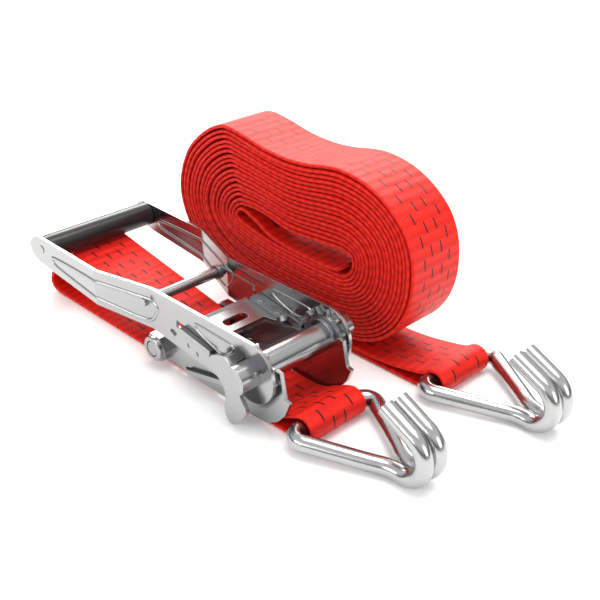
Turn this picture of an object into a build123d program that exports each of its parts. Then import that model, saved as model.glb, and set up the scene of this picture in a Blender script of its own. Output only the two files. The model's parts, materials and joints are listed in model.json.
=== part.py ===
from build123d import *
import os
from math import acos, asin, atan2, cos, degrees, hypot, pi, radians, sin, tan

os.makedirs("parts", exist_ok=True)

# Ratchet tie down: X runs from the grip to the hooks, Y across the webbing, Z up.
# The origin lies on the floor straight below the spindle axis. All sizes in mm.

# webbing
STRAP_W = 50.0
STRAP_T = 3.0
STRAP_SIDE_GAP = 1.5
BAR_SIDE_GAP = 8.1

# spindle and ratchet wheels
SPINDLE_Z = 41.5
SPINDLE_R = 10.0
SLOT_GAP = 4.0
SLOT_ANGLE = 114.6
RUN_CLEARANCE = 0.06
PRESS_CLEARANCE = 0.05
TEETH = 12
WHEEL_START = 188.4
TIP_HALF = 0.08
ROOT_HALF = 0.26
WHEEL_TIP_R = 20.0
WHEEL_ROOT_R = 16.0

# layers across the ratchet, measured from the middle plane
BASE_IN = STRAP_W / 2 + STRAP_SIDE_GAP
BASE_T = 3.0
LAYER_GAP = 0.3
WHEEL_T = 3.0
HANDLE_T = 2.5
WING_T = 3.0
BASE_OUT = BASE_IN + BASE_T
WHEEL_IN = BASE_OUT + LAYER_GAP
WHEEL_OUT = WHEEL_IN + WHEEL_T
HANDLE_IN = WHEEL_OUT + LAYER_GAP
HANDLE_OUT = HANDLE_IN + HANDLE_T
WING_IN = HANDLE_OUT + 5.9
WING_OUT = WING_IN + WING_T
SPINDLE_HALF_LEN = WING_OUT + 5.5
PIN_R = 1.6
PIN_Y = (HANDLE_OUT + WING_IN) / 2

# base
BOLT_X = -101.0
BOLT_Z = 16.0
BOLT_R = 6.0
SLEEVE_R = 8.0
BOSS_R = 10.5
HUB_R = 13.0
NUT_AF = 19.0
NUT_T = 5.5
NUT_COLLAR_R = 9.2
NUT_COLLAR_T = 3.4
BOLT_END = BASE_OUT + NUT_T + NUT_COLLAR_T - 0.4
BOLT_HEAD_T = 7.5

# handle
HANDLE_END_R = 21.5
HANDLE_FLARE = 14.4
WIDE_OUT = HANDLE_OUT + HANDLE_FLARE
FLARE_X0 = -101.0
FLARE_X1 = -147.0
GRIP_X = -217.0
GRIP_Z = 57.4
GRIP_R = 9.4
GRIP_ROD_R = 5.0
GRIP_END_R = 3.0
CROSS_X = -106.0
CROSS_Z = 51.5
CROSS_R = 4.0
RIVET_HEAD_T = 0.5
FLARE_SLOPE = (WIDE_OUT - HANDLE_OUT) / (FLARE_X0 - FLARE_X1)
CROSS_HALF = HANDLE_IN - 0.1
CROSS_END = HANDLE_OUT + (FLARE_X0 - CROSS_X + CROSS_R) * FLARE_SLOPE + 1.0

# handle pawl, sliding on a line that points at the wheels
HPAWL_X = -53.0
HPAWL_Z = 43.8
HPAWL_ANGLE = -8.8
HPAWL_T = 5.0
HPAWL_SLOT_FRONT = 22.5
HPAWL_SLOT_REAR = -21.0
SLOT_CLEARANCE = 0.35
HPAWL_TAB_OUT = HANDLE_OUT + 3.7
HP_REAR = -14.5
HP_FRONT = 18.0
HP_TIP = 32.5
RIVET_R = 2.0
RIVET_Y = BASE_IN + 0.5
RIVET_U = {"rear": -6.0, "front": 12.0}

# base pawl, sliding in the base plates
BPAWL_X = -58.9
BPAWL_Z = 11.0
BPAWL_ANGLE = 13.0
BPAWL_T = 4.0
BPAWL_SLOT_REAR = -15.5
BPAWL_SLOT_FRONT = 16.0
BPAWL_TAB_OUT = BASE_OUT + 3.2
BP_TIP = 49.8
SPRING_PIN_X = -84.0
SPRING_PIN_Z = 8.6
SPRING_PIN_R = 2.5
SPRING_WIRE_R = 0.5

# hooks
WIRE_R = 5.8
HOOK_HALF_W = STRAP_W / 2 + BAR_SIDE_GAP
HOOK_CORNER_R = 8.0
HOOK_LEG_U = 49.0
HOOK_LEAN = 27.0
HOOK_J_U = 69.0
HOOK_J_Y = 6.0
HOOK_J_R = 16.2
HOOK_END_ANGLE = 160.0
HOOK_END_LEN = 24.5
BAR_PLAY = 1.4
HOOK_SHORT_X = 35.4
HOOK_SHORT_Z = 10.2
HOOK_SHORT_YAW = -2.5
HOOK_LONG_X = 57.0
HOOK_LONG_Z = 9.3
HOOK_LONG_YAW = -4.0
EYE_X = 58.6
EYE_PLAY = 2.5
EYE_R = WIRE_R + EYE_PLAY
LONG_Y = 102.3


def node(name, solid):
    solid.label = name
    export_step(solid, f"parts/{name}.step")


def xz_plane(y_hi):
    return Plane(origin=(0, y_hi, 0), x_dir=(1, 0, 0), z_dir=(0, -1, 0))


def prism(face, y_lo, y_hi):
    """Extrude a face drawn in X and Z between two Y values."""
    return extrude(xz_plane(y_hi) * face, amount=y_hi - y_lo)


def side_span(side, inner, outer):
    """Y range of a layer on the near side (-1) or the far side (+1)."""
    if side < 0:
        return -outer, -inner
    return inner, outer


def layer(face, side, inner, outer):
    y_lo, y_hi = side_span(side, inner, outer)
    return prism(face, y_lo, y_hi)


def disc(x, z, r):
    return Pos(x, z) * Circle(r)


def rod(x, z, r, y_lo, y_hi):
    return prism(disc(x, z, r), y_lo, y_hi)


def outline(points, radius=0.0):
    face = make_face(Polyline(*points, close=True))
    if radius > 0:
        face = fillet(face.vertices(), radius)
    return face


def one(shape):
    """The single solid of a result."""
    solids = shape.solids()
    if len(solids) == 1:
        return solids[0]
    return Compound(children=list(solids))


def half_disc_face(half, radius, gap):
    """Segment of the spindle on one side of the webbing slot, turned to the slot angle."""
    side = 1 if half == "b" else -1
    block = Pos(side * (gap / 2 + radius), 0) * Rectangle(2 * radius, 4 * radius)
    segment = Circle(radius) & block
    return Pos(0, SPINDLE_Z) * Rot(0, 0, SLOT_ANGLE - 90) * segment


def spindle_half(half):
    reach = SPINDLE_HALF_LEN if half == "b" else WING_IN
    body = prism(half_disc_face(half, SPINDLE_R, SLOT_GAP), -reach, reach)
    for side in (-1, 1):
        body -= spindle_pin_cutter(side, PIN_R + PRESS_CLEARANCE)
    return one(body)


def spindle_pin_cutter(side, radius):
    """Cylinder across both halves, square to the slot."""
    pin = Cylinder(radius, 2 * SPINDLE_R + 3)
    return Pos(0, side * PIN_Y, SPINDLE_Z) * Rot(0, 180 - SLOT_ANGLE, 0) * pin


def ratchet_wheel(side):
    points = []
    step = 2 * pi / TEETH
    profile = ((-ROOT_HALF, WHEEL_ROOT_R), (-TIP_HALF, WHEEL_TIP_R), (TIP_HALF, WHEEL_TIP_R),
               (ROOT_HALF, WHEEL_ROOT_R))
    for i in range(TEETH):
        middle = radians(WHEEL_START) + (i + 0.5) * step
        for offset, r in profile:
            t = middle + offset * step
            points.append((r * cos(t), SPINDLE_Z + r * sin(t)))
    face = outline(points)
    for half in ("a", "b"):
        face -= half_disc_face(half, SPINDLE_R + PRESS_CLEARANCE, SLOT_GAP - 2 * PRESS_CLEARANCE)
    return one(layer(face, side, WHEEL_IN, WHEEL_OUT))


def wing(side):
    """Winding wing: a leaf pointing down with a short horn, fixed on the end of the shorter spindle half."""
    leaf = [(-29.2, 1.0), (-26.5, 5.0), (-20.4, 8.0), (-15.1, 9.3), (-12.0, 7.8), (-7.0, 4.6), (-4.4, -3.0),
            (-1.0, -12.6), (2.6, -18.0), (5.6, -22.7), (1.2, -31.2), (-4.4, -37.4), (-9.4, -39.0), (-13.2, -36.8),
            (-15.4, -30.5), (-14.4, -23.4), (-15.0, -15.7), (-18.0, -11.1), (-23.6, -7.4), (-28.6, -3.4)]
    face = make_face(Spline(*[(x, SPINDLE_Z + z) for x, z in leaf], periodic=True))
    return one(layer(face, side, WING_IN, WING_OUT))


def slide_point(x0, z0, angle, along, above=0.0):
    a = radians(angle)
    return (x0 + along * cos(a) - above * sin(a), z0 + along * sin(a) + above * cos(a))


def slot_face(x0, z0, angle, rear, front, height):
    length = front - rear
    centre = slide_point(x0, z0, angle, (front + rear) / 2)
    return Pos(*centre) * Rot(0, 0, angle) * RectangleRounded(length, height, 0.8)


def base_plate(side):
    rear = [(BOLT_X, BOLT_Z - BOSS_R), (-80, 6.6), (-73, 4.4), (-36, 4.6), (-10, 3.2), (9, 4.6)]
    front = [(19, 10.6), (25.5, 18.5), (29.4, 28.4), (25.2, 29.4), (24.4, 33.0), (21.4, 47.4), (17.0, 48.2),
             (12.0, 43.4)]
    top = [(0, SPINDLE_Z), (-25.0, 38.6), (-34, 35.2), (-62, 31.0), (BOLT_X, BOLT_Z + BOSS_R)]
    face = outline(rear + front + top)
    face = fillet(face.vertices().filter_by_position(Axis.X, -90, 27).filter_by_position(Axis.Y, 2, 38), 1.5)
    face += disc(BOLT_X, BOLT_Z, BOSS_R)
    face += disc(0, SPINDLE_Z, HUB_R)
    face -= disc(BOLT_X, BOLT_Z, BOLT_R + RUN_CLEARANCE)
    face -= disc(0, SPINDLE_Z, SPINDLE_R + RUN_CLEARANCE)
    face -= disc(SPRING_PIN_X, SPRING_PIN_Z, SPRING_PIN_R + PRESS_CLEARANCE)
    face -= slot_face(BPAWL_X, BPAWL_Z, BPAWL_ANGLE, BPAWL_SLOT_REAR, BPAWL_SLOT_FRONT,
                      BPAWL_T + 2 * SLOT_CLEARANCE)
    return one(layer(face, side, BASE_IN, BASE_OUT))


def hexagon():
    return Pos(BOLT_X, BOLT_Z) * RegularPolygon(NUT_AF / 2, 6, major_radius=False)


def bolt():
    body = rod(BOLT_X, BOLT_Z, BOLT_R, -BOLT_END, BASE_OUT)
    body += prism(hexagon(), BASE_OUT, BASE_OUT + BOLT_HEAD_T)
    ends = body.edges().filter_by(GeomType.CIRCLE).sort_by(Axis.Y)[0]
    return one(chamfer(ends, 0.8))


def nut():
    """Lock nut: hexagon with a round collar at its outer end."""
    bore = disc(BOLT_X, BOLT_Z, BOLT_R + PRESS_CLEARANCE)
    body = prism(hexagon() - bore, -(BASE_OUT + NUT_T), -BASE_OUT)
    collar = prism(disc(BOLT_X, BOLT_Z, NUT_COLLAR_R) - bore, -(BASE_OUT + NUT_T + NUT_COLLAR_T), -(BASE_OUT + NUT_T))
    rim = collar.edges().filter_by(GeomType.CIRCLE).sort_by(Axis.Y)[0:2].sort_by(SortBy.RADIUS)[-1]
    return one(body + fillet(rim, 1.2))


def sleeve():
    face = disc(BOLT_X, BOLT_Z, SLEEVE_R) - disc(BOLT_X, BOLT_Z, BOLT_R + RUN_CLEARANCE)
    return one(prism(face, -(BASE_IN - 0.1), BASE_IN - 0.1))


def handle_plate(side):
    # side outline
    top_z = SPINDLE_Z + HANDLE_END_R
    grip_end = [(-3.5, 9.4), (-11.0, 6.8), (-16.6, 0.6), (-15.0, -6.4), (-9.0, -11.0), (9.5, -13.5)]
    points = [(0, top_z), (-100, 62.9), (-149, 65.2)]
    points += [(GRIP_X + x, GRIP_Z + z) for x, z in grip_end]
    points += [(-152, 38.6), (-105.4, 32.2), (-64, 27.5), (-8, SPINDLE_Z - HANDLE_END_R + 1.1), (0, SPINDLE_Z)]
    face = outline(points)
    corners = [v for v in face.vertices() if v.X < -90]
    face = fillet(corners, 2.2)
    face += disc(0, SPINDLE_Z, HANDLE_END_R)
    face -= disc(0, SPINDLE_Z, SPINDLE_R + RUN_CLEARANCE)
    face -= disc(GRIP_X, GRIP_Z, GRIP_END_R + PRESS_CLEARANCE)
    face -= disc(CROSS_X, CROSS_Z, CROSS_R - 1 + PRESS_CLEARANCE)
    face -= slot_face(HPAWL_X, HPAWL_Z, HPAWL_ANGLE, HPAWL_SLOT_REAR, HPAWL_SLOT_FRONT,
                      HPAWL_T + 2 * SLOT_CLEARANCE)
    block = layer(face, side, HANDLE_IN - 1, WIDE_OUT + 1)
    # plan view of the bent sheet
    step_out = WIDE_OUT - HANDLE_OUT
    run = FLARE_X0 - FLARE_X1
    shift = HANDLE_T * (hypot(step_out, run) - run) / step_out
    rear = GRIP_X - 23
    plan = [(30, HANDLE_IN), (FLARE_X0, HANDLE_IN), (FLARE_X1, WIDE_OUT - HANDLE_T), (rear, WIDE_OUT - HANDLE_T),
            (rear, WIDE_OUT), (FLARE_X1 - shift, WIDE_OUT), (FLARE_X0 - shift, HANDLE_OUT), (30, HANDLE_OUT)]
    sheet_face = make_face(Polyline(*[(x, side * y) for x, y in plan], close=True))
    sheet = extrude(sheet_face, amount=80)
    result = block & sheet
    bends = [e for e in result.edges().filter_by(Axis.Z) if e.length > 15 and -155 < e.center().X < -95]
    return one(fillet(bends, 1.8))


def grip():
    face = disc(GRIP_X, GRIP_Z, GRIP_R) - disc(GRIP_X, GRIP_Z, GRIP_ROD_R + PRESS_CLEARANCE)
    half = WIDE_OUT - HANDLE_T - 0.3
    return one(prism(face, -half, half))


def grip_rod():
    """Rod through the grip, stepped down where it passes the handle plates."""
    shoulder = WIDE_OUT - HANDLE_T - 0.1
    body = rod(GRIP_X, GRIP_Z, GRIP_ROD_R, -shoulder, shoulder)
    body += rod(GRIP_X, GRIP_Z, GRIP_END_R, -(WIDE_OUT + RIVET_HEAD_T), WIDE_OUT + RIVET_HEAD_T)
    return one(body)


def cross_rod():
    """Cross rod with stepped, riveted ends: it keeps the handle plates apart."""
    body = rod(CROSS_X, CROSS_Z, CROSS_R, -CROSS_HALF, CROSS_HALF)
    body += rod(CROSS_X, CROSS_Z, CROSS_R - 1, -CROSS_END, CROSS_END)
    return one(body)


def pawl_frame(x0, z0, angle):
    """Plane of a sliding pawl: local X along the slide, local Y across, local Z above it."""
    a = radians(angle)
    return Plane(origin=(x0, 0, z0), x_dir=(cos(a), 0, sin(a)), z_dir=(-sin(a), 0, cos(a)))


def slab(plane, points, z_lo, z_hi):
    face = make_face(Polyline(*points, close=True))
    return extrude(plane.offset(z_lo) * face, amount=z_hi - z_lo)


def mirror_points(points):
    """Close an outline drawn for the far half by its mirror image."""
    return points + [(x, -y) for x, y in reversed(points)]


def handle_pawl():
    plane = pawl_frame(HPAWL_X, HPAWL_Z, HPAWL_ANGLE)
    half = HPAWL_T / 2
    body_half_w = BASE_IN - 4.5
    points = [(HP_REAR, body_half_w), (HP_REAR + 1, body_half_w), (HP_REAR + 1, HPAWL_TAB_OUT),
              (HP_FRONT, HPAWL_TAB_OUT), (HP_FRONT, HANDLE_IN - 0.3), (HP_TIP, HANDLE_IN - 0.3),
              (HP_TIP, WHEEL_IN + 0.1), (HP_FRONT, WHEEL_IN + 0.1), (HP_FRONT - 3, BASE_IN - 5.5),
              (HP_FRONT - 10, BASE_IN - 8)]
    plate = slab(plane, mirror_points(points), -half, 0)
    # rear edge turned up as a low finger lip
    lift = [(0, 0), (-2.4, 2.6), (-1.0, 4.0), (2.2, 1.6)]
    lift_pts = [slide_point(HPAWL_X, HPAWL_Z - half, HPAWL_ANGLE, HP_REAR + u, w) for u, w in lift]
    plate += prism(outline(lift_pts), -body_half_w, body_half_w)
    finger = plane.offset(-half - 1) * Pos(-1.5, 0) * RectangleRounded(7, 20, 3.0)
    plate -= extrude(finger, amount=HPAWL_T + 2)
    for side in (-1, 1):
        for u in RIVET_U.values():
            plate -= pawl_rivet_cut(plane, u, side, half)
    return one(plate)


def pawl_rivet_cut(plane, u, side, half):
    hole = plane.offset(-half - 1) * Pos(u, side * RIVET_Y) * Circle(RIVET_R + PRESS_CLEARANCE)
    return extrude(hole, amount=HPAWL_T + 2)


def pawl_tab(side):
    """Hardened second layer carrying the tooth of the handle pawl."""
    plane = pawl_frame(HPAWL_X, HPAWL_Z, HPAWL_ANGLE)
    half = HPAWL_T / 2
    inner = BASE_IN - 3.5
    points = [(HP_REAR + 1.5, inner), (HP_REAR + 1.5, HPAWL_TAB_OUT), (HP_FRONT, HPAWL_TAB_OUT),
              (HP_FRONT, HANDLE_IN - 0.3), (HP_TIP, HANDLE_IN - 0.3), (HP_TIP, WHEEL_IN + 0.1),
              (HP_FRONT, WHEEL_IN + 0.1), (HP_FRONT - 2, inner)]
    body = slab(plane, [(x, side * y) for x, y in points], 0.02, half)
    for u in RIVET_U.values():
        body -= pawl_rivet_cut(plane, u, side, half)
    return one(body)


def pawl_rivet(side, u):
    plane = pawl_frame(HPAWL_X, HPAWL_Z, HPAWL_ANGLE)
    half = HPAWL_T / 2
    shank = extrude(plane.offset(-half) * Pos(u, side * RIVET_Y) * Circle(RIVET_R), amount=HPAWL_T + 0.6)
    head = extrude(plane.offset(half + 0.02) * Pos(u, side * RIVET_Y) * Circle(RIVET_R + 0.9), amount=0.8)
    return one(shank + head)


def base_pawl():
    plane = pawl_frame(BPAWL_X, BPAWL_Z, BPAWL_ANGLE)
    half = BPAWL_T / 2
    inner = BASE_IN - 0.4
    points = [(-19.0, inner), (-10.8, inner), (-10.8, BPAWL_TAB_OUT), (BP_TIP, BPAWL_TAB_OUT),
              (BP_TIP, WHEEL_IN + 0.1), (11.2, WHEEL_IN + 0.1), (11.2, inner), (16.0, inner), (20.0, inner - 8.1)]
    body = slab(plane, mirror_points(points), -half, half)
    grip_cut = extrude(plane.offset(-half - 1) * Pos(-4, 0) * RectangleRounded(8, 26, 3.5), amount=BPAWL_T + 2)
    return one(body - grip_cut)


def spring_pin():
    return one(rod(SPRING_PIN_X, SPRING_PIN_Z, SPRING_PIN_R, -BASE_OUT, BASE_OUT))


def torsion_spring(side, cx, cz, core_r, y_in, end_x, end_z):
    """Coils drawn as one sleeve around a rod, with a straight leg to the pawl."""
    wire = 2 * SPRING_WIRE_R
    y_lo, y_hi = side_span(side, y_in, y_in + 4 * wire)
    coil = prism(disc(cx, cz, core_r + 0.35 + wire) - disc(cx, cz, core_r + 0.35), y_lo, y_hi)
    a = atan2(end_z - cz, end_x - cx)
    across = (-SPRING_WIRE_R * sin(a), SPRING_WIRE_R * cos(a))
    lift = core_r + 0.35 + SPRING_WIRE_R
    start = (cx - lift * sin(a), cz + lift * cos(a))
    end = (start[0] + end_x - cx, start[1] + end_z - cz)
    bar = outline([(start[0] - across[0], start[1] - across[1]), (start[0] + across[0], start[1] + across[1]),
                   (end[0] + across[0], end[1] + across[1]), (end[0] - across[0], end[1] - across[1])])
    leg = prism(bar, y_lo, y_lo + wire) if side < 0 else prism(bar, y_hi - wire, y_hi)
    return one(coil + leg)


def strip(path, y_mid):
    face = trace(path, STRAP_T)
    return prism(face, y_mid - STRAP_W / 2, y_mid + STRAP_W / 2)


def tangent_pair(cx, cz, r, px, pz, sign):
    """Point where a line from (px, pz) touches a circle."""
    d = hypot(px - cx, pz - cz)
    base = atan2(pz - cz, px - cx)
    a = base + sign * acos(r / d)
    return (cx + r * cos(a), cz + r * sin(a))


def strap_short():
    half = STRAP_T / 2
    r_sleeve = SLEEVE_R + 0.1 + half
    gr = (GRIP_X - 2, GRIP_Z - GRIP_R - 0.8 - half)
    top = tangent_pair(BOLT_X, BOLT_Z, r_sleeve, gr[0], gr[1], -1)
    # loop round the bolt sleeve, upper run to the grip, fold to the floor, floor run to the hook
    run = Line(top, gr)
    run_dir = (gr[0] - top[0], gr[1] - top[1])
    fold_end = (GRIP_X - 23, half)
    fold_points = [(-14.0, 40.2), (-27.0, 27.5), (-35.6, 14.0), (-37.2, 7.2), (-33.0, 2.9)]
    fold = Spline(gr, *[(GRIP_X + x, z) for x, z in fold_points], fold_end, tangents=(run_dir, (1, 0)))
    r_bar = WIRE_R + BAR_PLAY + half
    low = (HOOK_SHORT_X, HOOK_SHORT_Z - r_bar)
    floor = Line(fold_end, (HOOK_SHORT_X - 14, half))
    rise = Spline((HOOK_SHORT_X - 14, half), low, tangents=((1, 0), (1, 0)))
    turn = CenterArc((HOOK_SHORT_X, HOOK_SHORT_Z), r_bar, -90, 196)
    doubled = half + STRAP_T - 0.02
    back = Spline(turn @ 1, (HOOK_SHORT_X - 16, 12.4), (HOOK_SHORT_X - 27, 6.6), (HOOK_SHORT_X - 40, doubled),
                  tangents=(turn % 1, (-1, 0)))
    sewn = Line((HOOK_SHORT_X - 40, doubled), (HOOK_SHORT_X - 66, doubled))
    body = strip(run, 0)
    for piece in (fold, floor, rise, turn, back, sewn):
        body += strip(piece, 0)
    body += prism(disc(BOLT_X, BOLT_Z, r_sleeve + half) - disc(BOLT_X, BOLT_Z, r_sleeve - half),
                  -STRAP_W / 2, STRAP_W / 2)
    # sewn end of the loop round the bolt, lying under the upper run
    n = hypot(*run_dir)
    ux, uz = run_dir[0] / n, run_dir[1] / n
    below = (STRAP_T - 0.02) * uz, (STRAP_T - 0.02) * ux
    s0 = (top[0] + ux * 26 + below[0], top[1] + uz * 26 + below[1])
    s1 = (top[0] + ux * 62 + below[0], top[1] + uz * 62 + below[1])
    lower = tangent_pair(BOLT_X, BOLT_Z, r_sleeve, s0[0], s0[1], 1)
    body += strip(Line(lower, s0), 0)
    body += strip(Line(s0, s1), 0)
    return one(body)


COIL_POINTS = [(-211.5, 76), (-201, 106.6), (-179.4, 128.5), (-156, 140.2), (-135, 139.0), (-110, 134.0),
               (-86, 132.6), (-64, 134.6), (-46, 138.2), (-31, 139.4), (-10, 136.4), (10, 128.0), (27, 113.5),
               (35.6, 96), (37.8, 77), (36.2, 59), (30, 42), (19, 27), (4, 16.0), (-16, 10.0), (-50, 6.4),
               (-85, 5.9), (-120, 7.4), (-155, 14), (-184, 27), (-204, 48)]
COIL_EYE = [(-140, 70), (-132, 77.4), (-111, 78.0), (-81, 73.0), (-50, 74.6), (-26, 75.4), (-21.5, 69.0),
            (-28, 60.0), (-42, 59.4), (-70, 59.4), (-102, 61.0), (-126, 65.0)]


def strap_long():
    half = STRAP_T / 2
    y_lo, y_hi = LONG_Y - STRAP_W / 2, LONG_Y + STRAP_W / 2
    coil = make_face(Spline(*COIL_POINTS, periodic=True))
    eye_gap = make_face(Spline(*COIL_EYE, periodic=True))
    body = prism(coil, y_lo, y_hi) - prism(eye_gap, y_lo - 1, y_hi + 1)
    # hook loop: floor run, turn round the bar, return run that joins the roll
    centre = (EYE_X, half + EYE_R)
    floor = Line((-84, half), (centre[0], half))
    turn = CenterArc(centre, EYE_R, -90, 196)
    doubled = half + STRAP_T - 0.02
    back = Spline(turn @ 1, (47.8, 13.4), (31.0, 8.8), (13.5, 5.9), (-8, doubled), tangents=(turn % 1, (-1, 0)))
    sewn = Line((-8, doubled), (-84, doubled))
    for piece in (floor, turn, back, sewn):
        body += strip(piece, LONG_Y)
    return one(body)


def hook_path(side):
    """Centreline of one half of the hook: bar, corner, leg, closing bend, open hook, straight end."""
    w, r = HOOK_HALF_W, HOOK_CORNER_R
    lean = radians(HOOK_LEAN)
    start = (0, side * (w - r), 0)
    mid_a = radians(45) + lean / 2
    corner_mid = (r - r * cos(mid_a), side * (w - r + r * sin(mid_a)), 0)
    corner_x, corner_y = r + r * sin(lean), w - r + r * cos(lean)
    leg_y = corner_y - (HOOK_LEG_U - corner_x) * tan(lean)
    bar = Line((0, 0, 0), start)
    corner = ThreePointArc(start, corner_mid, (corner_x, side * corner_y, 0))
    leg = Line(corner @ 1, (HOOK_LEG_U, side * leg_y, 0))
    close = Spline(leg @ 1, (HOOK_J_U, side * HOOK_J_Y, 0), tangents=((cos(lean), -side * sin(lean), 0), (1, 0, 0)))
    end = radians(HOOK_END_ANGLE)

    def on_arc(a):
        return (HOOK_J_U + HOOK_J_R * sin(a), side * HOOK_J_Y, HOOK_J_R - HOOK_J_R * cos(a))

    bend = ThreePointArc(close @ 1, on_arc(end / 2), on_arc(end))
    last = on_arc(end)
    tip = (last[0] + HOOK_END_LEN * cos(end), last[1], last[2] + HOOK_END_LEN * sin(end))
    return Wire([bar, corner, leg, close, bend, Line(bend @ 1, tip)])


def hook(x, y, z, yaw):
    """Double hook bent from one wire: bar, two legs that close up, two open hooks side by side."""
    halves = None
    for side in (1, -1):
        section = Plane(origin=(0, 0, 0), z_dir=(0, side, 0)) * Circle(WIRE_R)
        wire = sweep(section, path=hook_path(side))
        halves = wire if halves is None else halves + wire
    tilt = degrees(asin((z - WIRE_R) / HOOK_J_U))
    return one(Pos(x, y, z) * Rot(0, 0, yaw) * Rot(0, tilt, 0) * halves)


def main():
    for side, tag in ((-1, "near"), (1, "far")):
        node(f"base_plate_{tag}", base_plate(side))
        node(f"handle_plate_{tag}", handle_plate(side))
        node(f"ratchet_wheel_{tag}", ratchet_wheel(side))
        node(f"spindle_wing_{tag}", wing(side))
        node(f"pawl_tab_{tag}", pawl_tab(side))
        for place, u in RIVET_U.items():
            node(f"pawl_rivet_{tag}_{place}", pawl_rivet(side, u))
        node(f"spindle_pin_{tag}", one(spindle_pin_cutter(side, PIN_R)))
        hx, hz = slide_point(HPAWL_X, HPAWL_Z, HPAWL_ANGLE, HP_REAR + 0.4, 3.0)
        node(f"handle_pawl_spring_{tag}", torsion_spring(side, CROSS_X, CROSS_Z, CROSS_R, 25.6, hx, hz))
        bx, bz = slide_point(BPAWL_X, BPAWL_Z, BPAWL_ANGLE, -19.2, 1.0)
        spring = torsion_spring(side, SPRING_PIN_X, SPRING_PIN_Z, SPRING_PIN_R, 17.0, bx, bz)
        node(f"base_pawl_spring_{tag}", spring)
    node("base_bolt", bolt())
    node("base_bolt_nut", nut())
    node("base_bolt_sleeve", sleeve())
    node("base_spring_pin", spring_pin())
    node("base_pawl", base_pawl())
    node("handle_pawl", handle_pawl())
    node("handle_grip", grip())
    node("grip_rod", grip_rod())
    node("handle_cross_rod", cross_rod())
    node("spindle_half_rear", spindle_half("a"))
    node("spindle_half_front", spindle_half("b"))
    node("strap_short", strap_short())
    node("strap_long", strap_long())
    node("hook_short", hook(HOOK_SHORT_X, 0, HOOK_SHORT_Z, HOOK_SHORT_YAW))
    node("hook_long", hook(HOOK_LONG_X, LONG_Y, HOOK_LONG_Z, HOOK_LONG_YAW))


main()
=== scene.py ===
import json
import math
import random

import bpy
import numpy as np
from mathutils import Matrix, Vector

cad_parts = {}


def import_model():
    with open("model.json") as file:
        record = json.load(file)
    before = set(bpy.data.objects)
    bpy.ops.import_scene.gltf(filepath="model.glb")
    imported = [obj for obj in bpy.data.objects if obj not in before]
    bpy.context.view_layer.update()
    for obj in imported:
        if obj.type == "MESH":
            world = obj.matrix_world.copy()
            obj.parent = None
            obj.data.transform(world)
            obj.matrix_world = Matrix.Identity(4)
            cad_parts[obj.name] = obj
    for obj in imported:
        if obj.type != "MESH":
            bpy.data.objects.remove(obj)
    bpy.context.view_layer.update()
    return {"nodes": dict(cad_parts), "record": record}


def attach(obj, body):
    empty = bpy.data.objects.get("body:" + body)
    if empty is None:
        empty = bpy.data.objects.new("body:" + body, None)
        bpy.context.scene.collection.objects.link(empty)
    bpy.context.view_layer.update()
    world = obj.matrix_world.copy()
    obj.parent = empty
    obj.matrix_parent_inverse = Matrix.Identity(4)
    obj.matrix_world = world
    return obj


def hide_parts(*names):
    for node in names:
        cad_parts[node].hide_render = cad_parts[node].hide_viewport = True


MM = 0.001

# webbing, in mm
STRAP_W = 50.0
STRAP_T = 2.9
COIL_T = 2.75
SHORT_STEP = 1.2
COIL_STEP = 2.0

# places shared with the CAD, in mm: X and Z in the side view
BOLT = (-101.0, 16.0)
SLEEVE_R = 8.0
GRIP = (-217.0, 57.4)
GRIP_R = 9.4
SHORT_BAR = (35.4, 10.2)
BAR_R = 5.8 + 1.4
LONG_EYE = (58.6, 9.4)
LONG_EYE_R = 8.3
LONG_Y = 102.3
HANDLE_OUT = 35.6
WIDE_OUT = 50.0
FLARE = (-101.0, -147.0)
HANDLE_T = 2.5

# roll of webbing: outer outline, open eye, and the two points the turns run round
ROLL = [(-211.5, 76), (-201, 106.6), (-179.4, 128.5), (-156, 140.2), (-135, 139.0), (-110, 134.0),
        (-86, 132.6), (-64, 134.6), (-46, 138.2), (-31, 139.4), (-10, 136.4), (10, 128.0), (27, 113.5),
        (35.6, 96), (37.8, 77), (36.2, 59), (30, 42), (19, 27), (4, 16.0), (-16, 9.4), (-50, 5.0),
        (-85, 4.2), (-120, 6.4), (-155, 13.6), (-184, 27), (-204, 48)]
EYE = [(-140, 70), (-132, 77.4), (-111, 78.0), (-81, 73.0), (-50, 74.6), (-26, 75.4), (-21.5, 69.0),
       (-28, 60.0), (-42, 59.4), (-70, 59.4), (-102, 61.0), (-126, 65.0)]
FOCUS_REAR = (-131.0, 72.0)
FOCUS_FRONT = (-30.0, 67.5)
TURNS = 18

# marker dashes and threads of the webbing, in mm
DASH_ROWS = ((5.0, 0.0), (12.9, 0.5))
DASH_PITCH = 16.0
DASH_HALF_W = 0.65
BAND_PITCH = 8.0
THREAD_PITCH = 1.0
WARP_PITCH = 1.6


# ---------------------------------------------------------------- materials

def new_material(name, color, metallic, roughness):
    mat = bpy.data.materials.new(name)
    mat.use_nodes = True
    shader = mat.node_tree.nodes["Principled BSDF"]
    shader.inputs["Base Color"].default_value = (*color, 1)
    shader.inputs["Metallic"].default_value = metallic
    shader.inputs["Roughness"].default_value = roughness
    return mat, mat.node_tree, shader


def math_node(tree, operation, a, b=None, clamp=False):
    node = tree.nodes.new("ShaderNodeMath")
    node.operation = operation
    node.use_clamp = clamp
    for socket, value in ((0, a), (1, b)):
        if value is None:
            continue
        if isinstance(value, (int, float)):
            node.inputs[socket].default_value = value
        else:
            tree.links.new(value, node.inputs[socket])
    return node.outputs[0]


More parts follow.
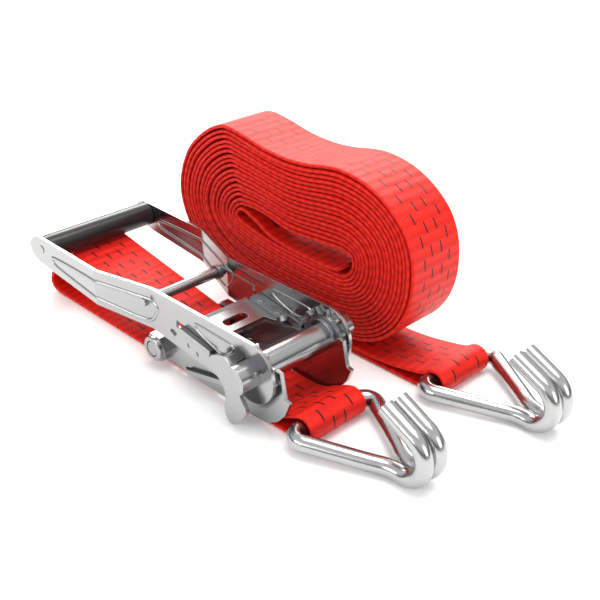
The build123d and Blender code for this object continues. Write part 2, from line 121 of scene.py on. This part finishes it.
def bump(tree, shader, height, distance, strength=1.0, edge=0.0):
    node = tree.nodes.new("ShaderNodeBump")
    if edge > 0:
        rounding = tree.nodes.new("ShaderNodeBevel")
        rounding.samples = 4
        rounding.inputs["Radius"].default_value = edge
        tree.links.new(rounding.outputs[0], node.inputs["Normal"])
    node.inputs["Distance"].default_value = distance
    node.inputs["Strength"].default_value = strength
    tree.links.new(height, node.inputs["Height"])
    tree.links.new(node.outputs[0], shader.inputs["Normal"])


def noise(tree, scale, detail):
    coords = tree.nodes.new("ShaderNodeTexCoord")
    node = tree.nodes.new("ShaderNodeTexNoise")
    node.inputs["Scale"].default_value = scale
    node.inputs["Detail"].default_value = detail
    tree.links.new(coords.outputs["Object"], node.inputs["Vector"])
    return node.outputs[0]


def plated_steel(name, color=(0.37, 0.375, 0.38), roughness=0.22, wave=0.00012, edge=0.0005):
    mat, tree, shader = new_material(name, color, 1.0, roughness)
    bump(tree, shader, noise(tree, 38.0, 1.0), wave, edge=edge)
    fine = noise(tree, 900.0, 3.0)
    rough = math_node(tree, "MULTIPLY_ADD", fine, 0.06)
    rough.node.inputs[2].default_value = roughness - 0.03
    tree.links.new(rough, shader.inputs["Roughness"])
    return mat


def black_plastic():
    mat, tree, shader = new_material("grip_plastic", (0.012, 0.012, 0.013), 0.0, 0.26)
    shader.inputs["Specular IOR Level"].default_value = 0.5
    bump(tree, shader, noise(tree, 1500.0, 2.0), 0.00004)
    return mat


# near-black material used as painted shade inside the handle plates' slits
def painted_slit_shade():
    mat, _, _ = new_material("painted_slit_shade", (0.01, 0.01, 0.012), 0.0, 0.6)
    return mat


def webbing(name):
    """Red woven webbing. UV holds mm along and mm across from the middle."""
    mat, tree, shader = new_material(name, (0.8, 0.03, 0.02), 0.0, 0.45)
    uv = tree.nodes.new("ShaderNodeUVMap")
    split = tree.nodes.new("ShaderNodeSeparateXYZ")
    tree.links.new(uv.outputs[0], split.inputs[0])
    u, v = split.outputs[0], split.outputs[1]
    across = math_node(tree, "ABSOLUTE", v)
    # thin dark marker dashes: two inner rows and two outer rows, half a pitch apart
    dashes = None
    for row, shift in DASH_ROWS:
        off_row = math_node(tree, "ABSOLUTE", math_node(tree, "SUBTRACT", across, row))
        near_row = math_node(tree, "LESS_THAN", off_row, DASH_HALF_W)
        pitches = math_node(tree, "ADD", math_node(tree, "DIVIDE", u, DASH_PITCH), shift + 1000.0)
        phase = math_node(tree, "FRACT", pitches)
        on = math_node(tree, "LESS_THAN", phase, 0.5)
        mark = math_node(tree, "MULTIPLY", near_row, on)
        dashes = mark if dashes is None else math_node(tree, "MAXIMUM", dashes, mark)
    # soft bands across the webbing, fine crosswise threads, fine lengthwise threads
    band = math_node(tree, "SINE", math_node(tree, "MULTIPLY", u, 2 * math.pi / BAND_PITCH))
    thread = math_node(tree, "SINE", math_node(tree, "MULTIPLY", u, 2 * math.pi / THREAD_PITCH))
    warp = math_node(tree, "SINE", math_node(tree, "MULTIPLY", v, 2 * math.pi / WARP_PITCH))
    weave = math_node(tree, "MULTIPLY", thread, warp)
    height = math_node(tree, "MULTIPLY", band, 0.9)
    height = math_node(tree, "ADD", height, math_node(tree, "MULTIPLY", thread, 0.35))
    height = math_node(tree, "ADD", height, math_node(tree, "MULTIPLY", weave, 0.25))
    height = math_node(tree, "SUBTRACT", height, math_node(tree, "MULTIPLY", dashes, 0.8))
    bump(tree, shader, height, 0.00016)
    # colour follows the weave and drifts slowly along the webbing: partly the threads' own tone, partly
    # painted shade in the dips and painted highlight on the crests of the same bands and threads the bump
    # raises
    weave_tone_and_shade = math_node(tree, "MULTIPLY", band, 0.10)
    weave_tone_and_shade = math_node(tree, "ADD", weave_tone_and_shade, math_node(tree, "MULTIPLY", thread, 0.07))
    weave_tone_and_shade = math_node(tree, "ADD", weave_tone_and_shade, math_node(tree, "MULTIPLY", weave, 0.05))
    weave_tone_and_shade = math_node(tree, "ADD", weave_tone_and_shade, 0.5, clamp=True)
    # ramp from the darker red of the painted shade in the weave's dips to the lighter red of its painted
    # highlights
    ramp = tree.nodes.new("ShaderNodeValToRGB")
    ramp.color_ramp.elements[0].position = 0.25
    ramp.color_ramp.elements[0].color = (0.46, 0.003, 0.003, 1)
    ramp.color_ramp.elements[1].position = 0.75
    ramp.color_ramp.elements[1].color = (0.82, 0.022, 0.010, 1)
    tree.links.new(weave_tone_and_shade, ramp.inputs[0])
    mix = tree.nodes.new("ShaderNodeMix")
    mix.data_type = "RGBA"
    tree.links.new(dashes, mix.inputs["Factor"])
    tree.links.new(ramp.outputs[0], mix.inputs["A"])
    mix.inputs["B"].default_value = (0.012, 0.008, 0.008, 1)
    tree.links.new(mix.outputs["Result"], shader.inputs["Base Color"])
    shader.inputs["Sheen Weight"].default_value = 0.01
    shader.inputs["Sheen Roughness"].default_value = 0.4
    shader.inputs["Sheen Tint"].default_value = (1.0, 0.55, 0.45, 1)
    shader.inputs["Specular IOR Level"].default_value = 0.17
    return mat


# ---------------------------------------------------------------- paths in the side view

def spline(points, tangents=None, closed=False, count=40):
    """Points on a smooth curve through the given points, with optional end directions."""
    p = np.array(points, float)
    n = len(p)
    m = np.zeros_like(p)
    for i in range(n):
        if closed:
            a, b = p[(i - 1) % n], p[(i + 1) % n]
            m[i] = (b - a) / 2
        elif 0 < i < n - 1:
            m[i] = (p[i + 1] - p[i - 1]) / 2
    if not closed:
        for i, j in ((0, 1), (n - 1, n - 2)):
            direction = p[1] - p[0] if i == 0 else p[-1] - p[-2]
            if tangents is not None:
                t = np.array(tangents[0 if i == 0 else 1], float)
                direction = t / np.linalg.norm(t) * np.linalg.norm(p[j] - p[i])
            m[i] = direction
    out = []
    last = n if closed else n - 1
    for i in range(last):
        a, b = p[i], p[(i + 1) % n]
        ma, mb = m[i], m[(i + 1) % n]
        t = np.linspace(0, 1, count, endpoint=False)[:, None]
        out.append((2 * t**3 - 3 * t**2 + 1) * a + (t**3 - 2 * t**2 + t) * ma
                   + (-2 * t**3 + 3 * t**2) * b + (t**3 - t**2) * mb)
    if not closed:
        out.append(p[-1:])
    return np.vstack(out)


def arc(centre, radius, start, end, count=60):
    a = np.radians(np.linspace(start, end, count))
    return np.stack([centre[0] + radius * np.cos(a), centre[1] + radius * np.sin(a)], 1)


def line(a, b, count=20):
    t = np.linspace(0, 1, count)[:, None]
    return np.array(a, float) * (1 - t) + np.array(b, float) * t


def resample(path, step):
    keep = np.r_[True, np.linalg.norm(np.diff(path, axis=0), axis=1) > 1e-6]
    path = path[keep]
    length = np.r_[0, np.cumsum(np.linalg.norm(np.diff(path, axis=0), axis=1))]
    count = max(8, int(length[-1] / step))
    at = np.linspace(0, length[-1], count)
    return np.stack([np.interp(at, length, path[:, k]) for k in range(2)], 1), at


def touch(centre, radius, point, sign):
    d = math.hypot(point[0] - centre[0], point[1] - centre[1])
    a = math.atan2(point[1] - centre[1], point[0] - centre[0]) + sign * math.acos(radius / d)
    return (centre[0] + radius * math.cos(a), centre[1] + radius * math.sin(a)), math.degrees(a)


def short_path():
    """Sewn end, round the bolt sleeve, up to the grip, fold, floor run, hook eye and second sewn end."""
    half = 1.5
    r = SLEEVE_R + 0.1 + half
    under_grip = (GRIP[0] - 2, GRIP[1] - GRIP_R - 0.8 - half)
    top, top_angle = touch(BOLT, r, under_grip, -1)
    run = np.array(under_grip) - np.array(top)
    unit = run / np.linalg.norm(run)
    below = np.array([unit[1], -unit[0]])
    below = below if below[1] < 0 else -below
    sewn_a = np.array(top) + unit * 62 + below * 3.05
    sewn_b = np.array(top) + unit * 26 + below * 3.05
    lower, low_angle = touch(BOLT, r, tuple(sewn_b), 1)
    turn_end = top_angle if top_angle > low_angle - 360 else top_angle + 360
    while low_angle > turn_end:
        low_angle -= 360
    turn = arc(BOLT, r, low_angle, turn_end)
    r_bar = BAR_R + half
    doubled = half + 3.0
    fold = spline([under_grip, (-231, 40.2), (-244.0, 27.5), (-252.6, 14.0), (-254.2, 7.2), (-250.0, 2.9),
                   (-240, half)], (run, (1, 0)))
    rise = spline([(SHORT_BAR[0] - 14, half), (SHORT_BAR[0], SHORT_BAR[1] - r_bar)], ((1, 0), (1, 0)))
    eye = arc(SHORT_BAR, r_bar, -90, 106)
    tangent = (-math.sin(math.radians(106)), math.cos(math.radians(106)))
    back = spline([tuple(eye[-1]), (SHORT_BAR[0] - 16, 12.4), (SHORT_BAR[0] - 27, 6.6),
                   (SHORT_BAR[0] - 40, doubled)], (tangent, (-1, 0)))
    sewn = line((SHORT_BAR[0] - 40, doubled), (SHORT_BAR[0] - 66, doubled))
    return np.vstack([line(sewn_a, sewn_b), line(sewn_b, lower), turn, line(top, under_grip), fold,
                      line((-240, half), (SHORT_BAR[0] - 14, half)), rise, eye, back, sewn])


def polar_radius(outline, focus, angles):
    """Distance from focus to a closed outline at the given angles, in degrees."""
    d = outline - np.array(focus)
    a = np.degrees(np.arctan2(d[:, 1], d[:, 0])) % 360
    order = np.argsort(a)
    return np.interp(np.asarray(angles) % 360, a[order], np.hypot(d[:, 0], d[:, 1])[order], period=360)


def around(outline, tau):
    """Points of a closed outline at tau: 0-1 top, 1-2 front bend, 2-3 bottom, 3-4 rear bend."""
    tau = np.asarray(tau) % 4
    a, b = np.array(FOCUS_REAR), np.array(FOCUS_FRONT)
    out = np.zeros((len(tau), 2))
    for k in range(4):
        sel = (tau >= k) & (tau < k + 1)
        t = tau[sel] - k
        if k in (0, 2):
            mid = (a[1] + b[1]) / 2
            rows = outline[(outline[:, 1] > mid) if k == 0 else (outline[:, 1] < mid)]
            rows = rows[np.argsort(rows[:, 0])]
            x = a[0] + (b[0] - a[0]) * (t if k == 0 else 1 - t)
            out[sel] = np.stack([x, np.interp(x, rows[:, 0], rows[:, 1])], 1)
        else:
            focus = b if k == 1 else a
            angle = 90 - 180 * t if k == 1 else 270 - 180 * t
            r = polar_radius(outline, focus, angle)
            out[sel] = np.stack([focus[0] + r * np.cos(np.radians(angle)),
                                 focus[1] + r * np.sin(np.radians(angle))], 1)
    return out


def long_path():
    """Sewn end under the roll, hook eye, floor run, then the turns of the roll and the tail in its eye."""
    half = 1.5
    doubled = half + 2.95
    tangent = (-math.sin(math.radians(106)), math.cos(math.radians(106)))
    eye = arc(LONG_EYE, LONG_EYE_R, 106, -90)
    back = spline([(-8, doubled), (13.5, 5.9), (31.0, 8.8), (47.8, 12.6), tuple(eye[0])],
                  ((1, 0), (-tangent[0], -tangent[1])))
    outer = spline(ROLL, closed=True, count=60)
    inner = spline(EYE, closed=True, count=60)
    tau = np.linspace(3.12, 3 + 4 * (TURNS - 1) + 0.62, 26000)
    depth = (0.5 + (tau - 3) / 4) / TURNS
    rear = np.clip(np.cos((tau - 3.35) * math.pi / 2), 0, 1) ** 1.5
    depth = depth + 0.27 * rear / (2 * math.pi * 6) * np.sin(2 * math.pi * 6 * depth)
    depth = depth - 0.22 / TURNS * np.clip(1 - (tau - 3) / 3.6, 0, 1)
    far, near = around(outer, tau), around(inner, tau)
    roll = far * (1 - depth[:, None]) + near * depth[:, None]
    floor = line((LONG_EYE[0], half), (-84, half))
    lift = spline([(-84, half), (-118, 3.2), tuple(roll[0])], ((-1, 0), roll[20] - roll[0]))
    last = roll[-1] - roll[-30]
    tail_end = [(-121, 72.4), (-107, 65.2), (-88, 61.4), (-60, 60.0), (-40, 60.2), (-31, 62.6)]
    tail = spline([tuple(roll[-1]), *tail_end], (last, (1, 0.6)))
    return np.vstack([line((-70, doubled), (-8, doubled)), back, eye, floor, lift, roll, tail])


# ---------------------------------------------------------------- meshes

def mesh_object(name, verts, faces, material, smooth=True):
    data = bpy.data.meshes.new(name)
    data.from_pydata([tuple(v) for v in verts], [], faces)
    data.materials.append(material)
    for poly in data.polygons:
        poly.use_smooth = smooth
    obj = bpy.data.objects.new(name, data)
    bpy.context.scene.collection.objects.link(obj)
    return obj


def section(width, thick):
    """Closed outline of the webbing's cross-section: (off the middle line, across)."""
    r = thick / 2
    flat = width / 2 - r
    side = [(r * math.sin(a), flat + r * math.cos(a)) for a in np.radians(np.linspace(90, -90, 7))]
    half = [(r, flat - 0.5)] + side + [(-r, flat - 0.5)]
    return half + [(-n, -b) for n, b in half]


def strip(name, path, at, y_mid, thick, material, sway):
    tangent = np.gradient(path, axis=0)
    tangent /= np.linalg.norm(tangent, axis=1)[:, None]
    normal = np.stack([-tangent[:, 1], tangent[:, 0]], 1)
    profile = section(STRAP_W, thick)
    n, m = len(path), len(profile)
    verts = np.zeros((n, m, 3))
    uv_v = np.array([b for _, b in profile])
    for j, (off, across) in enumerate(profile):
        scallop = 0.16 * np.sin(2 * np.pi * at / 4.0) * (abs(across) > STRAP_W / 2 - thick / 2 - 0.2)
        verts[:, j, 0] = path[:, 0] + off * normal[:, 0]
        verts[:, j, 1] = y_mid + across + sway + np.sign(across) * scallop
        verts[:, j, 2] = path[:, 1] + off * normal[:, 1]
    faces = []
    for i in range(n - 1):
        for j in range(m):
            k = (j + 1) % m
            faces.append((i * m + j, i * m + k, (i + 1) * m + k, (i + 1) * m + j))
    faces.append(tuple(range(m - 1, -1, -1)))
    faces.append(tuple((n - 1) * m + j for j in range(m)))
    obj = mesh_object(name, verts.reshape(-1, 3) * MM, faces, material)
    layer = obj.data.uv_layers.new(name="UVMap")
    index = np.zeros(len(obj.data.loops), int)
    obj.data.loops.foreach_get("vertex_index", index)
    uv = np.stack([at[index // m], uv_v[index % m]], 1)
    layer.data.foreach_set("uv", uv.astype(np.float32).ravel())
    return obj


def sway_along(at, seed, size):
    rng = random.Random(seed)
    total = np.zeros_like(at)
    for wave in (900.0, 410.0, 170.0, 95.0):
        total += np.sin(2 * np.pi * at / wave + rng.uniform(0, 6.28)) * rng.uniform(0.5, 1.0)
    return total * size / 3


def make_straps(material):
    path, at = resample(short_path(), SHORT_STEP)
    short = strip("strap_short_web", path, at, 0.0, STRAP_T, material, 0.0 * at)
    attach(short, "base")
    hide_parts("strap_short")
    path, at = resample(long_path(), COIL_STEP)
    in_roll = np.clip((at - 330.0) / 300.0, 0, 1)
    long = strip("strap_long_web", path, at, LONG_Y, COIL_T, material, sway_along(at, 7, 0.9) * in_roll)
    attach(long, "long_strap")
    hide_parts("strap_long")


def plate_y(x, outer=True):
    """Distance from the middle plane to the outer or inner face of a handle plate."""
    t = min(max((FLARE[0] - x) / (FLARE[0] - FLARE[1]), 0.0), 1.0)
    y = HANDLE_OUT + (WIDE_OUT - HANDLE_OUT) * t
    return y if outer else y - HANDLE_T


def bead(name, points, side, outer, radius, material, body="handle", closed=False):
    """Raised bead pressed along a handle plate face, drawn in the side view."""
    path, _ = resample(spline(points, closed=closed, count=12), 1.5)
    if closed:
        path = np.vstack([path, path[:1]])
    curve = bpy.data.curves.new(name, "CURVE")
    curve.dimensions = "3D"
    curve.bevel_depth = radius * MM
    curve.bevel_resolution = 4
    curve.use_fill_caps = True
    poly = curve.splines.new("POLY")
    poly.points.add(len(path) - 1)
    sink = radius * 0.45
    for point, (x, z) in zip(poly.points, path):
        y = plate_y(x, outer) - sink if outer else plate_y(x, outer) + sink
        point.co = (x * MM, side * y * MM, z * MM, 1)
    obj = bpy.data.objects.new(name, curve)
    bpy.context.scene.collection.objects.link(obj)
    obj.data.materials.append(material)
    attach(obj, body)
    return obj


def slit_shade_patch(name, outline, side, y, lift, material, body):
    """Thin dark patch on a plate face: painted shade standing for the shadow in an opening or a pressed
    slit.
    """
    verts = [(x * MM, side * (y + lift) * MM, z * MM) for x, z in outline]
    verts += [(x * MM, side * (y - 0.3) * MM, z * MM) for x, z in outline]
    n = len(outline)
    faces = [tuple(range(n)), tuple(range(2 * n - 1, n - 1, -1))]
    faces += [(i, (i + 1) % n, n + (i + 1) % n, n + i) for i in range(n)]
    obj = mesh_object(name, verts, faces, material, smooth=False)
    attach(obj, body)
    return obj


def lens_shape(a, b, width):
    """Slim pointed-oval outline between two points."""
    a, b = np.array(a, float), np.array(b, float)
    d = b - a
    n = np.array([-d[1], d[0]]) / np.linalg.norm(d)
    t = np.linspace(0, 1, 9)
    up = [tuple(a + d * s + n * width / 2 * math.sin(math.pi * s)) for s in t]
    down = [tuple(a + d * s - n * width / 2 * math.sin(math.pi * s)) for s in t[-2:0:-1]]
    return up + down


def half_moon(name, centre, radius, angle, side, material):
    """Raised half-moon pressed in the handle plate, drawn as a fan of flat faces."""
    steps = [math.radians(angle + 180 * i / 14) for i in range(15)]
    crown = radius * 0.62
    rim = [(centre[0] + radius * math.cos(t), centre[1] + radius * math.sin(t)) for t in steps]
    inner = [(centre[0] + crown * math.cos(t), centre[1] + crown * math.sin(t)) for t in steps]
    low, high = HANDLE_OUT - 0.3, HANDLE_OUT + 1.5
    verts = [(x * MM, side * low * MM, z * MM) for x, z in rim]
    verts += [(x * MM, side * high * MM, z * MM) for x, z in inner]
    n = len(rim)
    faces = [(i, i + 1, n + i + 1, n + i) for i in range(n - 1)]
    faces += [(0, n, 2 * n - 1, n - 1), tuple(range(n, 2 * n)), tuple(range(n - 1, -1, -1))]
    obj = mesh_object(name, verts, faces, material, smooth=False)
    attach(obj, "handle")


def make_details(steel, dark):
    pocket = [(-203, 53.2), (-199.5, 56.0), (-176, 56.8), (-152, 56.6), (-126, 55.4), (-102, 54.0),
              (-95.5, 51.6), (-94.6, 47.4), (-101.6, 38.6), (-112, 37.6), (-130, 40.4), (-150, 43.5),
              (-176, 46.8), (-197, 49.8)]
    slits = {"a": ((-63, 36.2), (-60.6, 33.0)), "b": ((-53.8, 33.3), (-51.4, 30.1))}
    wedge = [(-51, 55.4), (-34, 55.2), (-17, 54.4), (-14.8, 52.6), (-18, 47.6), (-27.4, 43.9), (-40, 46.6),
             (-50, 50.4), (-53, 53.2)]
    for side, tag in ((-1, "near"), (1, "far")):
        bead(f"handle_pocket_{tag}", pocket, side, True, 1.7, steel, closed=True)
        bead(f"handle_pocket_inner_{tag}", pocket, side, False, 1.5, steel, closed=True)
        bead(f"handle_wedge_{tag}", wedge, side, True, 1.3, steel, closed=True)
        bead(f"handle_wedge_inner_{tag}", wedge, side, False, 1.1, steel, closed=True)
        half_moon(f"handle_moon_{tag}", (-77.6, 38.4), 3.4, 150, side, steel)
        # each slit is drawn as a thin dark patch of painted shade
        for letter, (start, end) in slits.items():
            outline = lens_shape(start, end, 1.5)
            slit_shade_patch(f"handle_slit_shade_{letter}_{tag}", outline, side, HANDLE_OUT, 0.06, dark, "handle")


def finish_cad(frame, steel, hook_steel, wheel_steel, spring_steel, plastic):
    by_slot = {"plated_steel": steel, "hook_steel": hook_steel, "wheel_steel": wheel_steel,
               "spring_steel": spring_steel, "grip_plastic": plastic}
    slots = {s["node"]: s["material_slot"] for s in frame["record"]["subparts"]}
    for name, obj in frame["nodes"].items():
        material = by_slot.get(slots.get(name))
        if material is None:
            continue
        obj.data.materials.clear()
        obj.data.materials.append(material)


# ---------------------------------------------------------------- stage, light, camera

def make_stage():
    bpy.ops.mesh.primitive_plane_add(size=14, location=(0, 0, -0.0004))
    floor = bpy.context.object
    floor.name = "floor"
    mat, _, shader = new_material("floor_paper", (0.9, 0.9, 0.9), 0.0, 0.9)
    shader.inputs["Specular IOR Level"].default_value = 0.1
    shader.inputs["Emission Color"].default_value = (1, 1, 1, 1)
    shader.inputs["Emission Strength"].default_value = 0.08
    floor.data.materials.append(mat)


def area_light(name, place, target, size, power, color=(1, 1, 1)):
    data = bpy.data.lights.new(name, "AREA")
    data.shape = "RECTANGLE"
    data.size, data.size_y = size
    data.energy = power
    data.color = color
    obj = bpy.data.objects.new(name, data)
    obj.location = place
    obj.rotation_euler = (Vector(target) - Vector(place)).to_track_quat("-Z", "Y").to_euler()
    bpy.context.scene.collection.objects.link(obj)


def make_world():
    world = bpy.data.worlds.new("studio")
    bpy.context.scene.world = world
    world.use_nodes = True
    tree = world.node_tree
    background = tree.nodes["Background"]
    coords = tree.nodes.new("ShaderNodeTexCoord")
    split = tree.nodes.new("ShaderNodeSeparateXYZ")
    tree.links.new(coords.outputs["Generated"], split.inputs[0])
    ramp = tree.nodes.new("ShaderNodeValToRGB")
    stops = ((0.0, 0.5), (0.04, 0.06), (0.20, 0.12), (0.34, 0.75), (0.62, 1.05), (1.0, 0.7))
    elements = ramp.color_ramp.elements
    while len(elements) < len(stops):
        elements.new(0.5)
    for element, (position, value) in zip(elements, stops):
        element.position = position
        element.color = (value, value, value, 1)
    tree.links.new(split.outputs[2], ramp.inputs[0])
    tree.links.new(ramp.outputs[0], background.inputs[0])
    background.inputs[1].default_value = 1.0


def make_lights():
    area_light("key", (0.1, 0.15, 1.3), (-0.03, 0.05, 0.05), (0.8, 0.8), 13, (1.0, 0.98, 0.94))
    area_light("back", (-0.95, 1.0, 0.85), (-0.05, 0.05, 0.08), (1.3, 0.6), 24, (1.0, 0.97, 0.92))
    area_light("side", (1.3, 0.1, 0.55), (0, 0.05, 0.05), (0.6, 0.6), 5)
    area_light("front", (-0.2, -1.3, 0.6), (-0.05, 0.0, 0.05), (0.9, 0.4), 7)


def make_camera():
    data = bpy.data.cameras.new("camera")
    data.lens = 59.26
    data.sensor_width = 36.0
    data.clip_start = 0.01
    data.dof.use_dof = False
    cam = bpy.data.objects.new("camera", data)
    cam.location = (0.3957, -0.3777, 0.3789)
    back = Vector((0.628, -0.613, 0.4795))
    cam.rotation_mode = "QUATERNION"
    cam.rotation_quaternion = (-back).to_track_quat("-Z", "Y")
    bpy.context.scene.collection.objects.link(cam)
    bpy.context.scene.camera = cam


def main():
    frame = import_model()
    steel = plated_steel("plated_steel")
    hook_steel = plated_steel("hook_steel", (0.43, 0.435, 0.44), 0.22, 0.00005, 0.0003)
    wheel_steel = plated_steel("wheel_steel", (0.42, 0.43, 0.44), 0.28)
    spring_steel = plated_steel("spring_steel", (0.3, 0.305, 0.31), 0.3, edge=0.0)
    finish_cad(frame, steel, hook_steel, wheel_steel, spring_steel, black_plastic())
    make_straps(webbing("webbing"))
    make_details(steel, painted_slit_shade())
    make_stage()
    make_world()
    make_lights()
    make_camera()
    scene = bpy.context.scene
    scene.view_settings.view_transform = "Standard"


main()
